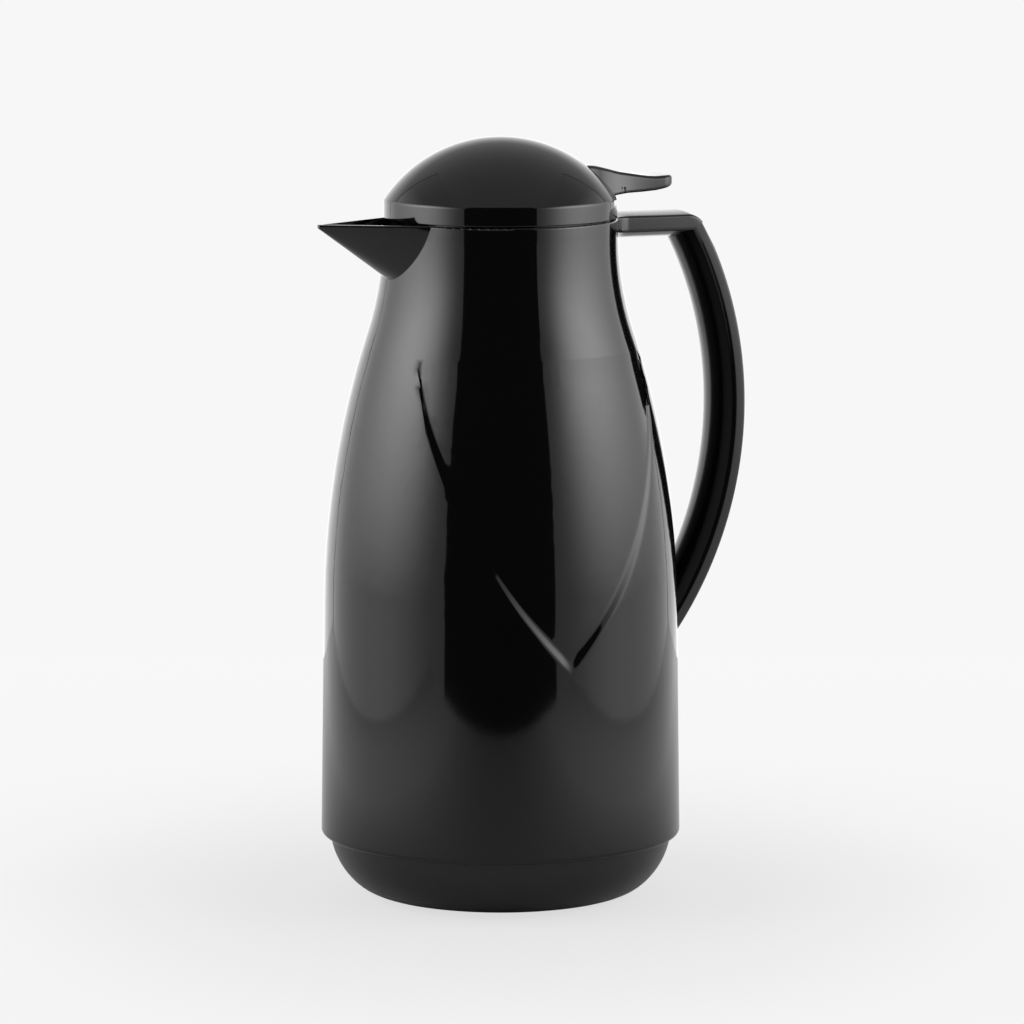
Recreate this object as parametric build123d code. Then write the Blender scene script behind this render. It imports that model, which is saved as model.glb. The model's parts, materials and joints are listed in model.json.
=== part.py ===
from build123d import *
import os
from math import asin, atan2, cos, degrees, pi, radians, sin, sqrt, tan

# Thermal carafe, 1 litre, glass lined. Millimetres, +Z up.
# The origin is on the body's axis at the plane it stands on, the spout points to -X and the handle to +X.

# Body, outside
rim_z = 254.5  # pouring rim, where the lid's edge lands
seam_z = 22.4  # seam between the body and the base
seam_gap = 0.3
foot_flare = 1.3  # how far the lower edge stands out past the shoulder
foot_edge_radius = 1.8
shoulder_radius = 66.3  # body radius where the long side curve starts
shoulder_z = 112.0
neck_curve_share = 0.35  # radius of the neck's hollow curve, as a share of the side's long convex one
neck_radius = 43.9
neck_z = 249.1  # above this the neck is a plain cylinder
rim_edge_radius = 0.8
body_wall = 2.4
thread_ring_wall = 2.6  # inner ring that the base screws into
thread_ring_height = 13.0

# V relief pressed into both sides
relief_depth = 1.2
relief_tip_z = 93.0
relief_top_z = 203.0
relief_half_width = 44.8
relief_fade = 1.055  # how much flatter the pressed face curves than the side
relief_run_out = 3.4  # how far the pressed face would stand off the neck, so that it runs out below it
relief_lean = 2.14  # width of the step for each unit of depth
relief_overrun = 1.12  # how far past the tip an arm runs, so that the two cross

# Spout
spout_reach = 72.6  # axis of the body to the tip
spout_blunt = 2.0  # length cut from the cone's point
spout_spread = 0.644  # half width of the cone's oval for each millimetre from its point
spout_depth = 0.97  # half height of the oval, likewise
spout_lift = 0.25  # rise of the oval's middle over the rim, likewise
spout_wall = 1.8
spout_edge_radius = 0.6

# Shelf inside the neck
shelf_z = 221.6
shelf_thickness = 2.4
shelf_bore_radius = 33.0

# Collar in the neck
collar_gap = 0.2
collar_wall = 2.0
collar_floor = 2.4
collar_bore_radius = 22.3
collar_land_width = 6.3  # flat ring round the bore, where the lid's seal lands
collar_rise = 8.2  # slope from the land up to the wall
collar_slope_shift = 1.2  # underside of the slope, outwards at its foot
collar_slope_depth = 3.4  # thickness of the slope at the wall
collar_top_drop = 6.0  # rim down to the collar's upper edge

# Glass liner, two blown bottles fused at the lip
liner_gap = 3.2  # room between the glass and the body's wall
liner_neck_radius = 31.5
liner_glass = 1.5
liner_vacuum = 2.5
liner_bottom_z = 29.0
liner_shoulder_z = 138.0
liner_shoulder_radius = 58.0
liner_heel_radius = 34.0
liner_neck_z = 208.0
liner_lip = 2.5
liner_tip_length = 7.0
liner_tip_radius = 3.5

# Rubber between the glass and the plastic
neck_gasket_height = 3.0
neck_gasket_inset = 0.7
cushion_radius = 24.0
cushion_thickness = 3.0
cushion_bore_radius = 7.0

# Base
base_step = 3.4  # body's lower edge to the base's upper edge
base_waist_inset = 3.4
base_waist_z = 12.0
base_heel_inset = 9.0
base_heel_z = 5.0
base_floor_inset = 19.7
base_floor_z = 0.6  # underside of the floor over the table
base_wall = 2.6
base_thread_gap = 0.2
base_thread_wall = 2.2
base_thread_height = 11.0
tower_radius = 26.0
tower_wall = 2.2
base_ribs = 6
rib_width = 1.8
foot_ring_radius = 41.0
foot_ring_width = 7.0
foot_ring_groove = 1.2

# Handle
handle_width = 26.0
handle_curve_radius = 144.4  # outer edge of the long curve
handle_stand_off = 27.4  # past the body's lower edge
handle_curve_z = 182.2
handle_side_depth = 4.3  # flat side face, outer edge to inner edge
handle_arm_depth = 5.6
handle_inner_crown = 5.6
handle_outer_crown = 1.1
handle_bend_radius = 7.0
handle_overrun = 12.0  # degrees that the curve is swept past its ends before it is cut
handle_root_flare = 5.0
handle_end_z = 96.0  # lower point of the handle on the body

# Handle screws
handle_screw_radius = 1.75
handle_screw_head_radius = 3.2
handle_screw_head_height = 1.2
handle_screw_sink = 0.2  # head under the inner surface
handle_screw_length = 11.0
handle_upper_screw_drop = 5.2  # below the rim
handle_lower_screw_z = 112.0

# Lid
band_edge_radius = 1.6  # between the band and the dome
lid_seam = 0.4  # dark line between the lid and the body
lid_step = 0.3  # how far the lid's band stands inside the neck's outside
band_height = 7.2  # over the rim
dome_rise = 23.3
dome_wall = 2.2
lid_skirt_gap = 0.4
lid_skirt_wall = 1.8
lid_skirt_drop = 5.0

# Lever
pivot_inset = 7.6  # inwards from the band
pivot_height = 7.0  # over the rim
lever_spindle_rise = 17.9  # radius of the lever's spindle shaped root
lever_spindle_half = 27.0
lever_joint_gap = 0.4
lever_drop = 1.8  # room under the lever's skin for its travel
lever_wall = 2.2
lever_reach = 65.6
lever_pad_half = 9.6
lever_root_half = 22.0
lever_tip_radius = 3.6
lever_waist_reach = 9.0  # past the pivot, where the thumb piece is hollowed on top
lever_waist_top = 16.0
lever_pad_length = 12.0
lever_pad_top = 14.0
lever_pad_bottom = 9.6
lever_top_z = 20.2  # where the thumb piece leaves the dome, over the rim
lever_arm_depth = 3.6
lever_arm_half = 5.4
fork_slot_half = 3.7
fork_slot_margin = 1.4  # room in front of the stem for the fork's swing
ear_radius = 3.0
ear_inner = 5.8
ear_width = 3.0
pin_radius = 1.25
pin_gap = 0.05
knuckle_radius = 3.2
lever_web_length = 20.0  # web between the knuckle and the skin

# Stopper under the lid
plate_gap = 2.6  # plate's edge to the neck's bore
plate_thickness = 2.4
plate_drop = 3.0  # rim down to the plate's underside
cage_radius = 22.0
cage_wall = 2.2
cage_ring_height = 2.5
cage_posts = 6
cage_post_width = 5.0
guide_radius = 5.6
guide_drop = 6.0
seat_flange_radius = 27.2
seat_flange_thickness = 2.0
seat_thickness = 2.0
seat_bore_radius = 12.5
seat_depth = 6.4  # collar floor's upper face down to the seat's underside
lug_count = 3
lug_angle = 28.0
lug_width = 2.3
lug_height = 2.0
lug_gap = 0.3
lug_entry_margin = 4.0
lug_entry_turn = 60.0  # turn from locked to free
stopper_seal_thickness = 1.6
stopper_seal_gap = 0.05
boss_radius = 3.4
boss_inset = 11.9  # from the plate's edge
lid_screw_radius = 1.5
lid_screw_head_radius = 2.8
lid_screw_head_height = 1.2
lid_screw_length = 11.0

# Valve
stem_radius = 3.0
stem_gap = 0.1
valve_disc_radius = 16.0
valve_disc_thickness = 2.0
valve_seal_thickness = 1.6
valve_seal_inset = 0.4
valve_hub_radius = 5.2
valve_hub_height = 3.0
head_radius = 7.0
head_thickness = 2.5
head_gap = 0.3
stem_over_head = 1.6
head_nut_radius = 4.6
head_nut_height = 1.4
spring_wire_radius = 0.55
spring_wire_sides = 6
spring_coil_radius = 6.6
spring_turns = 5
seat_running_gap = 0.05

# Sizes and places that follow
foot_radius = shoulder_radius + foot_flare
thread_ring_radius = foot_radius - body_wall - thread_ring_wall
liner_radius = shoulder_radius - body_wall - relief_depth - liner_gap
base_radius = foot_radius - base_step
base_waist_radius = base_radius - base_waist_inset
base_heel_radius = base_radius - base_heel_inset
base_floor_radius = base_radius - base_floor_inset
handle_curve_x = foot_radius + handle_stand_off - handle_curve_radius
neck_bore = neck_radius - body_wall
band_radius = neck_radius - lid_step
plate_radius = neck_bore - plate_gap
boss_circle = plate_radius - boss_inset
pivot_x = band_radius - pivot_inset
band_top = rim_z + band_height
lid_edge = rim_z + lid_seam
dome_radius = (band_radius**2 + dome_rise**2) / (2 * dome_rise)
dome_centre = band_top + dome_rise - dome_radius
pivot_z = rim_z + pivot_height
liner_top = shelf_z + shelf_thickness - neck_gasket_height
collar_top = rim_z - collar_top_drop
collar_floor_z = shelf_z + shelf_thickness
collar_land = collar_floor_z + collar_floor
flange_z = collar_land + stopper_seal_thickness + stopper_seal_gap
seat_z = collar_land - seat_depth
seat_top = seat_z + seat_thickness
plate_z = rim_z - plate_drop
plate_top = plate_z + plate_thickness
valve_z = seat_top + seat_running_gap
disc_z = valve_z + valve_seal_thickness
disc_top = disc_z + valve_disc_thickness
arm_top = pivot_z + lever_arm_depth / 2
head_z = arm_top + head_gap
guide_z = plate_z - guide_drop
cushion_z = liner_bottom_z - cushion_thickness
on_floor = (Align.CENTER, Align.CENTER, Align.MIN)  # a solid stands on its own origin


def side_lean():
    """Lean of the side below the shoulder."""
    return atan2(foot_flare, shoulder_z - seam_z)


def long_curve_radius():
    """Radius of the side's convex curve that meets the neck's hollow curve without a corner."""
    along = neck_curve_share + cos(side_lean())
    up = sin(side_lean())
    across, rise = neck_radius - shoulder_radius, neck_z - shoulder_z
    square = along**2 + up**2 - (1 + neck_curve_share) ** 2
    half = across * along + rise * up
    return (-half - sqrt(half**2 - square * (across**2 + rise**2))) / square


side_curve_radius = long_curve_radius()


def side_curve(inset, curve_radius, neck):
    """Centres and radii of the reversed curve from shoulder to neck, in the plane of radius and height."""
    lean = side_lean()
    low = shoulder_radius - inset
    low_x = low - curve_radius * cos(lean)
    low_z = shoulder_z - curve_radius * sin(lean)
    across = neck - low_x
    up = neck_z - low_z
    high_radius = (across**2 + up**2 - curve_radius**2) / (2 * (curve_radius - across))
    turn = asin(up / (curve_radius + high_radius))
    return low_x, low_z, high_radius, lean, turn


def side_radius(z):
    """Outside radius of the body at a height between the shoulder and the neck."""
    low_x, low_z, high_radius, lean, turn = side_curve(0, side_curve_radius, neck_radius)
    if z < shoulder_z:
        return shoulder_radius + (foot_radius - shoulder_radius) * (shoulder_z - z) / (shoulder_z - seam_z)
    if z < low_z + side_curve_radius * sin(turn):
        return low_x + sqrt(side_curve_radius**2 - (z - low_z) ** 2)
    return neck_radius + high_radius - sqrt(high_radius**2 - (min(z, neck_z) - neck_z) ** 2)


def turned(edges):
    """Solid of revolution from a closed outline in the XZ plane."""
    return revolve(make_face(Wire(edges)), Axis.Z)


def polygon(points):
    """Edges of a closed straight sided outline, given as radius and height."""
    spots = [Vector(x, 0, z) for x, z in points]
    return [Line(a, b) for a, b in zip(spots, spots[1:] + spots[:1])]


def ring(inner, outer, z, height):
    """Plain ring round the Z axis."""
    body = Pos(0, 0, z) * Cylinder(outer, height, align=on_floor)
    if inner:
        body -= Pos(0, 0, z) * Cylinder(inner, height, align=on_floor)
    return body


def bar_along(start, direction, radius, length):
    """Round bar from a point along a direction."""
    return Plane(origin=start, z_dir=direction) * Cylinder(radius, length, align=on_floor)


def body_form(inset, curve_radius, neck, bottom, top):
    """The jug's turned form, moved inwards by the inset below and to the given neck radius above."""
    low_x, low_z, high_radius, lean, turn = side_curve(inset, curve_radius, neck)
    foot = Vector(foot_radius - inset, 0, bottom)
    shoulder = Vector(shoulder_radius - inset, 0, shoulder_z)
    middle = (lean + turn) / 2
    belly = Vector(low_x + curve_radius * cos(middle), 0, low_z + curve_radius * sin(middle))
    waist = Vector(low_x + curve_radius * cos(turn), 0, low_z + curve_radius * sin(turn))
    throat = Vector(neck + high_radius * (1 - cos(turn / 2)), 0, neck_z - high_radius * sin(turn / 2))
    collar = Vector(neck, 0, neck_z)
    rim = Vector(neck, 0, top)
    edges = [
        Line(foot, shoulder),
        ThreePointArc(shoulder, belly, waist),
        ThreePointArc(waist, throat, collar),
        Line(collar, rim),
        Line(rim, Vector(0, 0, top)),
        Line(Vector(0, 0, top), Vector(0, 0, bottom)),
        Line(Vector(0, 0, bottom), foot),
    ]
    return turned(edges)


def relief_wall():
    """Everything inwards of the right-hand wall of the V, an arc seen from the side, seen square to its top."""
    radius = (relief_half_width**2 + (relief_top_z - relief_tip_z) ** 2) / (2 * relief_half_width)
    tip_turn = asin((relief_top_z - relief_tip_z) / radius)
    front = -foot_radius - 2 * relief_depth
    back = 3 * relief_depth - side_radius(relief_top_z) * cos(relief_facing())
    far = -2 * foot_radius
    outlines = []
    for y in (front, back):
        arm = []
        for step in range(8):
            turn = tip_turn * relief_overrun * (1 - step / 7)
            x = relief_half_width - radius * (1 - cos(turn))
            z = relief_top_z - radius * sin(turn)
            on_body = side_radius(z)
            angle = asin(x / on_body) - relief_facing()
            inwards, upwards = relief_lean * cos(turn), relief_lean * sin(turn)
            deep = (y + on_body * cos(angle)) / (cos(angle) - inwards * sin(angle))
            across = on_body * sin(angle) - deep * (sin(angle) + inwards * cos(angle))
            arm.append(Vector(across, y, z + deep * upwards))
        corners = [arm[-1], Vector(arm[-1].X, y, rim_z), Vector(far, y, rim_z), Vector(far, y, arm[0].Z), arm[0]]
        edges = [Spline(*arm)] + [Line(a, b) for a, b in zip(corners, corners[1:])]
        outlines.append(make_face(Wire(edges)))
    return loft(outlines, ruled=True).rotate(Axis.Z, degrees(relief_facing()))


def relief_facing():
    """Turn round the jug from the V's middle to the top of its arm."""
    return asin(relief_half_width / side_radius(relief_top_z))


def relief_cut():
    """The pressed V on both sides, its step leaning evenly off the surface, down to the inner face."""
    fade_radius = relief_fade * side_curve_radius
    pressed = body_form(relief_depth, fade_radius, neck_radius + relief_run_out, seam_z, rim_z)
    half = Box(relief_half_width, 2 * foot_radius, 2 * rim_z, align=(Align.MIN, Align.MAX, Align.CENTER))
    middle_height = (relief_top_z - relief_tip_z) / 3
    middle = Box(relief_half_width / 2, 2 * foot_radius, rim_z, align=(Align.MIN, Align.MAX, Align.MIN))
    arm = (relief_wall() & half) + Pos(0, 0, relief_top_z - middle_height) * middle
    vee = (arm + mirror(arm, Plane.YZ)) - pressed
    return vee + mirror(vee, Plane.XZ)


def spout_oval(point, distance):
    """Oval section of the spout's cone at a distance from its point."""
    middle = (point + distance, 0, rim_z + spout_lift * distance)
    return Plane(origin=middle, x_dir=(0, 1, 0), z_dir=(1, 0, 0)) * Ellipse(
        spout_spread * distance, spout_depth * distance
    )


def spout_cone(inset):
    """Oval cone of the spout, widening from its tip towards the body's axis."""
    lean = atan2(spout_spread, 1)
    point = -spout_reach - spout_blunt + inset / sin(lean)
    start = 0.1 if inset else spout_blunt
    return loft([spout_oval(point, start), spout_oval(point, -neck_bore / 2 - point)], ruled=True)


def spout_outside():
    """Outer form of the spout under the rim, its edge rounded."""
    spout = spout_cone(0) & below_rim(spout_reach + spout_blunt)
    edges = spout.faces().sort_by(Axis.Z)[-1].edges().sort_by(Axis.X)[:-1]
    return fillet(edges, spout_edge_radius)


def below_rim(reach):
    """Block that keeps what is under the rim."""
    block = Box(2 * reach, 2 * reach, rim_z, align=(Align.CENTER, Align.CENTER, Align.MAX))
    return Pos(0, 0, rim_z) * block


def body_cavity():
    """Room inside the jug's wall, clear of the pressed V."""
    inset = body_wall + relief_depth
    low = body_form(inset, side_curve_radius - inset, neck_bore, seam_z, rim_z + 1)
    return low


def make_body_shell():
    outside = body_form(0, side_curve_radius, neck_radius, seam_z + seam_gap, rim_z)
    lower_edge = outside.edges().filter_by(GeomType.CIRCLE).sort_by(Axis.Z)[0]
    outside = fillet(lower_edge, foot_edge_radius)
    top_edge = outside.edges().filter_by(GeomType.CIRCLE).sort_by(Axis.Z)[-1]
    outside = fillet(top_edge, rim_edge_radius)
    outside -= relief_cut()
    outside += spout_outside()
    shell = outside - body_cavity()
    bottom = seam_z + seam_gap
    shell += ring(thread_ring_radius, foot_radius - body_wall, bottom, thread_ring_height)
    shelf_reach = side_radius(shelf_z) - body_wall / 2
    shelf = ring(shelf_bore_radius, shelf_reach, shelf_z, shelf_thickness)
    shell += shelf
    shell -= ring(0, neck_bore, collar_floor_z, rim_z - collar_floor_z + 1)
    shell -= spout_cone(spout_wall)
    for screw in handle_screw_places():
        shell -= screw_hole(screw)
    return shell


def handle_screw_places():
    """Start of each handle screw on the inside of the wall, seen along +X."""
    lower_x = shoulder_radius - body_wall - relief_depth
    return [(neck_bore, rim_z - handle_upper_screw_drop), (lower_x, handle_lower_screw_z)]


def screw_hole(place):
    x, z = place
    pocket = handle_screw_sink + handle_screw_head_height
    hole = bar_along((x, 0, z), (1, 0, 0), handle_screw_radius, handle_screw_length)
    return hole + bar_along((x - 1, 0, z), (1, 0, 0), handle_screw_head_radius, 1 + pocket)


def make_handle_screws():
    """Two screws that hold the handle from inside the wall."""
    screws = Part()
    for x, z in handle_screw_places():
        start = x + handle_screw_sink
        screw = bar_along((start, 0, z), (1, 0, 0), handle_screw_head_radius, handle_screw_head_height)
        screw += bar_along((start, 0, z), (1, 0, 0), handle_screw_radius, handle_screw_length)
        recess = handle_screw_head_height * 0.6
        screw -= bar_along((start, 0, z), (1, 0, 0), handle_screw_radius * 0.7, recess)
        screws += screw
    return screws


def handle_section(outer, inner):
    """Handle section across the strap: flat sides, crowned outer and inner faces. Depth runs along +X."""
    half = handle_width / 2
    return make_face(
        Wire(
            [
                Line((inner, -half), (outer, -half)),
                ThreePointArc((outer, -half), (outer + handle_outer_crown, 0), (outer, half)),
                Line((outer, half), (inner, half)),
                ThreePointArc((inner, half), (inner - handle_inner_crown, 0), (inner, -half)),
            ]
        )
    )


def make_handle():
    """Strap handle: a level arm from the neck and one long curve down to the body."""
    outer = handle_curve_radius
    inner = outer - handle_side_depth
    centre = Vector(handle_curve_x, 0, handle_curve_z)
    top_turn = degrees(asin((rim_z - handle_curve_z) / outer)) + handle_overrun
    low_turn = degrees(asin((handle_curve_z - handle_end_z) / outer)) + handle_overrun
    flat = Pos(*centre) * handle_section(outer, inner)
    flat = flat.rotate(Axis(centre, (0, 1, 0)), low_turn)
    curve = revolve(flat, Axis(centre, (0, -1, 0)), top_turn + low_turn)
    level = Plane(origin=(0, 0, rim_z), x_dir=(0, 0, 1), z_dir=(1, 0, 0))
    corner_x = handle_curve_x + sqrt(outer**2 - (rim_z - handle_curve_z) ** 2)
    arm = extrude(level * handle_section(0, -handle_arm_depth), corner_x + handle_bend_radius)
    arm_envelope = extrude(level * handle_section(0, -rim_z), 2 * corner_x)
    disc_half = Pos(*centre) * handle_section(outer, handle_inner_crown + 1)
    disc = revolve(disc_half, Axis(centre, (0, -1, 0)), 360)
    strap = (arm + curve) & arm_envelope & disc
    crown = 2 * handle_outer_crown
    ridge = strap.edges().filter_by(lambda e: e.center().Z > rim_z - crown and e.center().X > corner_x - crown)
    ridge = ridge.filter_by(lambda e: e.bounding_box().size.Y > handle_width / 2).sort_by(Axis.X)[-1:]
    strap = fillet(ridge, handle_bend_radius)
    strap += handle_root()
    outside = body_form(0, side_curve_radius, neck_radius, seam_z + seam_gap, band_top)
    strap -= outside
    strap = strap.solids().sort_by(SortBy.VOLUME)[-1]
    hole = handle_screw_sink + handle_screw_length
    for x, z in handle_screw_places():
        strap -= bar_along((x, 0, z), (1, 0, 0), handle_screw_radius, hole)
    return strap


def handle_root():
    """Flare where the arm meets the neck."""
    half = handle_width / 2
    near = sqrt(neck_radius**2 - (half + handle_root_flare) ** 2)
    far = sqrt(neck_radius**2 - half**2) + handle_root_flare
    outline = Wire(
        [
            Line((near, half + handle_root_flare), (near, -half - handle_root_flare)),
            RadiusArc((near, -half - handle_root_flare), (far, -half), handle_root_flare * 1.6),
            Line((far, -half), (far, half)),
            RadiusArc((far, half), (near, half + handle_root_flare), handle_root_flare * 1.6),
        ]
    )
    return Pos(0, 0, rim_z - handle_arm_depth) * extrude(make_face(outline), handle_arm_depth)


def liner_form(inset, top):
    """Bottle form of the liner, moved inwards by the inset."""
    radius = liner_radius - inset
    bottom = liner_bottom_z + inset
    heel = liner_heel_radius - inset
    shoulder = liner_shoulder_radius - inset
    neck = liner_neck_radius - inset
    centre_x = liner_radius - liner_shoulder_radius
    across = liner_neck_radius - centre_x
    up = liner_neck_z - liner_shoulder_z
    throat = (across**2 + up**2 - liner_shoulder_radius**2) / (2 * (liner_shoulder_radius - across))
    turn = asin(up / (liner_shoulder_radius + throat))
    throat += inset
    heel_x, heel_z = radius - heel, bottom + heel
    side = Vector(radius, 0, liner_shoulder_z)
    mid = Vector(centre_x + shoulder * cos(turn / 2), 0, liner_shoulder_z + shoulder * sin(turn / 2))
    waist = Vector(centre_x + shoulder * cos(turn), 0, liner_shoulder_z + shoulder * sin(turn))
    bend = Vector(neck + throat * (1 - cos(turn / 2)), 0, liner_neck_z - throat * sin(turn / 2))
    mouth = Vector(neck, 0, liner_neck_z)
    edges = [
        Line(Vector(0, 0, bottom), Vector(heel_x, 0, bottom)),
        ThreePointArc(
            Vector(heel_x, 0, bottom),
            Vector(heel_x + heel * sin(pi / 4), 0, heel_z - heel * cos(pi / 4)),
            Vector(radius, 0, heel_z),
        ),
        Line(Vector(radius, 0, heel_z), side),
        ThreePointArc(side, mid, waist),
        ThreePointArc(waist, bend, mouth),
        Line(mouth, Vector(neck, 0, top)),
        Line(Vector(neck, 0, top), Vector(0, 0, top)),
        Line(Vector(0, 0, top), Vector(0, 0, bottom)),
    ]
    return turned(edges)


def make_liner_outer():
    """Outer glass bottle with the sealed tip under its bottom."""
    top = liner_top - liner_lip
    glass = liner_form(0, top) - liner_form(liner_glass, top + 1)
    tip = Cone(liner_tip_radius, liner_tip_radius / 4, liner_tip_length, align=on_floor)
    tip = Pos(0, 0, liner_bottom_z + liner_glass / 2) * Rot(180, 0, 0) * tip
    return glass + tip


def make_liner_inner():
    """Inner glass bottle with the rolled lip that closes the vacuum."""
    first = liner_glass + liner_vacuum
    second = first + liner_glass
    bottle = liner_form(first, liner_top)
    lip = ring(0, liner_neck_radius, liner_top - liner_lip, liner_lip)
    rim_edge = (bottle + lip).edges().filter_by(GeomType.CIRCLE).sort_by(Axis.Z)[-1]
    glass = fillet(rim_edge, liner_lip * 0.6)
    glass -= liner_form(second, liner_top + 1)
    mouth_edge = glass.edges().filter_by(GeomType.CIRCLE).group_by(Axis.Z)[-1].sort_by(SortBy.RADIUS)[0]
    return fillet(mouth_edge, liner_lip * 0.6)


def make_neck_gasket():
    """Rubber ring between the glass lip and the collar."""
    inner = liner_neck_radius - 2 * liner_glass - liner_vacuum - neck_gasket_inset
    return ring(inner, liner_neck_radius + neck_gasket_inset, liner_top, neck_gasket_height)


def make_collar():
    """Funnel ring in the neck, from the bore up to the spout, with the bayonet's entries."""
    outer = neck_bore - collar_gap
    wall = outer - collar_wall
    land = collar_bore_radius + collar_land_width
    top = collar_land + collar_rise
    section = polygon(
        [
            (collar_bore_radius, collar_floor_z),
            (land + collar_slope_shift, collar_floor_z),
            (wall, top - collar_slope_depth),
            (wall, collar_floor_z),
            (outer, collar_floor_z),
            (outer, collar_top),
            (wall, collar_top),
            (wall, top),
            (land, collar_land),
            (collar_bore_radius, collar_land),
        ]
    )
    collar = turned(section)
    entry = lug_angle + lug_entry_margin
    for index in range(lug_count):
        place = index * 360 / lug_count + lug_entry_turn
        reach = cage_radius + lug_width + lug_gap
        collar -= sector(cage_radius, reach, collar_floor_z, collar_floor, place, entry)
    collar -= spout_cone(spout_wall)
    return collar


def sector(inner, outer, z, height, middle, angle):
    """Part of a ring, as wide as an angle, centred on a direction."""
    half = radians(angle / 2)
    spots = [
        (inner * cos(half), -inner * sin(half)),
        (outer * cos(half), -outer * sin(half)),
        (outer, 0),
        (outer * cos(half), outer * sin(half)),
        (inner * cos(half), inner * sin(half)),
        (inner, 0),
    ]
    edges = [
        Line(spots[0], spots[1]),
        ThreePointArc(spots[1], spots[2], spots[3]),
        Line(spots[3], spots[4]),
        ThreePointArc(spots[4], spots[5], spots[0]),
    ]
    return Rot(0, 0, middle) * Pos(0, 0, z) * extrude(make_face(Wire(edges)), height)


def bowl_form(inset, top):
    """The base's turned form, moved inwards by the inset."""
    shoulder = Vector(base_radius - inset, 0, seam_z)
    waist = Vector(base_waist_radius - inset, 0, base_waist_z)
    heel = Vector(base_heel_radius - inset * sin(pi / 4), 0, base_heel_z + inset * cos(pi / 4))
    floor = Vector(base_floor_radius, 0, base_floor_z + inset)
    side = ThreePointArc(shoulder, waist, heel)
    edges = [
        side,
        TangentArc(heel, floor, tangent=side % 1),
        Line(floor, Vector(0, 0, base_floor_z + inset)),
        Line(Vector(0, 0, base_floor_z + inset), Vector(0, 0, top)),
        Line(Vector(0, 0, top), Vector(base_radius - inset, 0, top)),
    ]
    if top > seam_z:
        edges.append(Line(Vector(base_radius - inset, 0, top), shoulder))
    return turned(edges)


def make_base_cup():
    """Screwed base: bowl, threaded ring that stands inside the body, and the tower under the liner."""
    cup = bowl_form(0, seam_z) - bowl_form(base_wall, seam_z + 1)
    ring_outer = thread_ring_radius - base_thread_gap
    ring_inner = ring_outer - base_thread_wall
    cup += ring(ring_inner, ring_outer, seam_z - base_wall, base_wall + base_thread_height)
    cup += ring(ring_inner, base_radius - base_wall / 2, seam_z - base_wall, base_wall)
    tower_top = cushion_z
    cup += ring(tower_radius - tower_wall, tower_radius, base_floor_z, tower_top - base_floor_z)
    cup += ring(cushion_bore_radius, tower_radius, tower_top - tower_wall, tower_wall)
    rib_reach = base_waist_radius - tower_radius
    rib = Box(rib_reach, rib_width, base_waist_z - base_floor_z, align=(Align.MIN, Align.CENTER, Align.MIN))
    for index in range(base_ribs):
        turn = (index + 0.5) * 360 / base_ribs
        placed = Rot(0, 0, turn) * Pos(tower_radius - tower_wall / 2, 0, base_floor_z) * rib
        cup += placed & bowl_form(0, seam_z)
    return cup - make_foot_ring()


def make_foot_ring():
    """Soft ring in the groove under the base."""
    return ring(foot_ring_radius - foot_ring_width, foot_ring_radius, 0, base_floor_z + foot_ring_groove)


def make_liner_cushion():
    """Rubber cup on the tower that carries the glass."""
    return ring(cushion_bore_radius, cushion_radius, cushion_z, cushion_thickness)


def lever_spindle(grow):
    """Lens shaped body of revolution round the lever's pin: the joint between the lever and the dome."""
    rise = lever_spindle_rise + grow
    half = lever_spindle_half + grow
    edges = [
        ThreePointArc((0, -half), (rise, 0), (0, half)),
        Line((0, half), (0, -half)),
    ]
    lens = revolve(make_face(Wire(edges)), Axis.Y)
    return Pos(pivot_x, 0, pivot_z) * lens


def dome_ball(inset):
    """Ball that the dome and the lever's skin are cut from."""
    return Pos(0, 0, dome_centre) * Sphere(dome_radius - inset)


def upper_block(z):
    """Block that keeps what is over a level."""
    wide = 4 * foot_radius
    return Pos(0, 0, z) * Box(wide, wide, rim_z, align=on_floor)


def make_lid_dome():
    """Dome with its band and the skirt that centres it in the neck."""
    outside = dome_ball(0) & upper_block(band_top)
    outside += ring(0, band_radius, lid_edge, band_top - lid_edge)
    low_edge = outside.edges().filter_by(GeomType.CIRCLE).sort_by(Axis.Z)[0]
    outside = fillet(low_edge, lid_seam)
    circles = outside.edges().filter_by(GeomType.CIRCLE)
    top_edge = circles.filter_by(lambda e: abs(e.center().Z - band_top) < lid_seam)
    outside = fillet(top_edge, band_edge_radius)
    inside = dome_ball(dome_wall) & upper_block(band_top)
    skirt_outer = neck_bore - lid_skirt_gap
    inside += ring(0, skirt_outer - lid_skirt_wall, lid_edge - 1, band_top - lid_edge + 1)
    dome = outside - inside
    skirt_z = rim_z - lid_skirt_drop
    dome += ring(skirt_outer - lid_skirt_wall, skirt_outer, skirt_z, lid_edge - skirt_z)
    room = dome_ball(dome_wall / 2) + ring(0, band_radius - dome_wall, plate_top, band_top - plate_top)
    for angle in boss_angles():
        boss = ring(0, boss_radius, plate_top, dome_rise + band_height)
        boss = Rot(0, 0, angle) * Pos(boss_circle, 0, 0) * boss
        dome += boss & room
    for angle in boss_angles():
        hole = ring(0, lid_screw_radius, plate_top - 1, lid_screw_length)
        dome -= Rot(0, 0, angle) * Pos(boss_circle, 0, 0) * hole
    opening = lever_spindle(lever_joint_gap) & upper_block(band_top - lever_drop)
    return dome - opening


def boss_angles():
    """Directions of the three lid screws, clear of the lever."""
    return [60, 180, 300]


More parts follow.
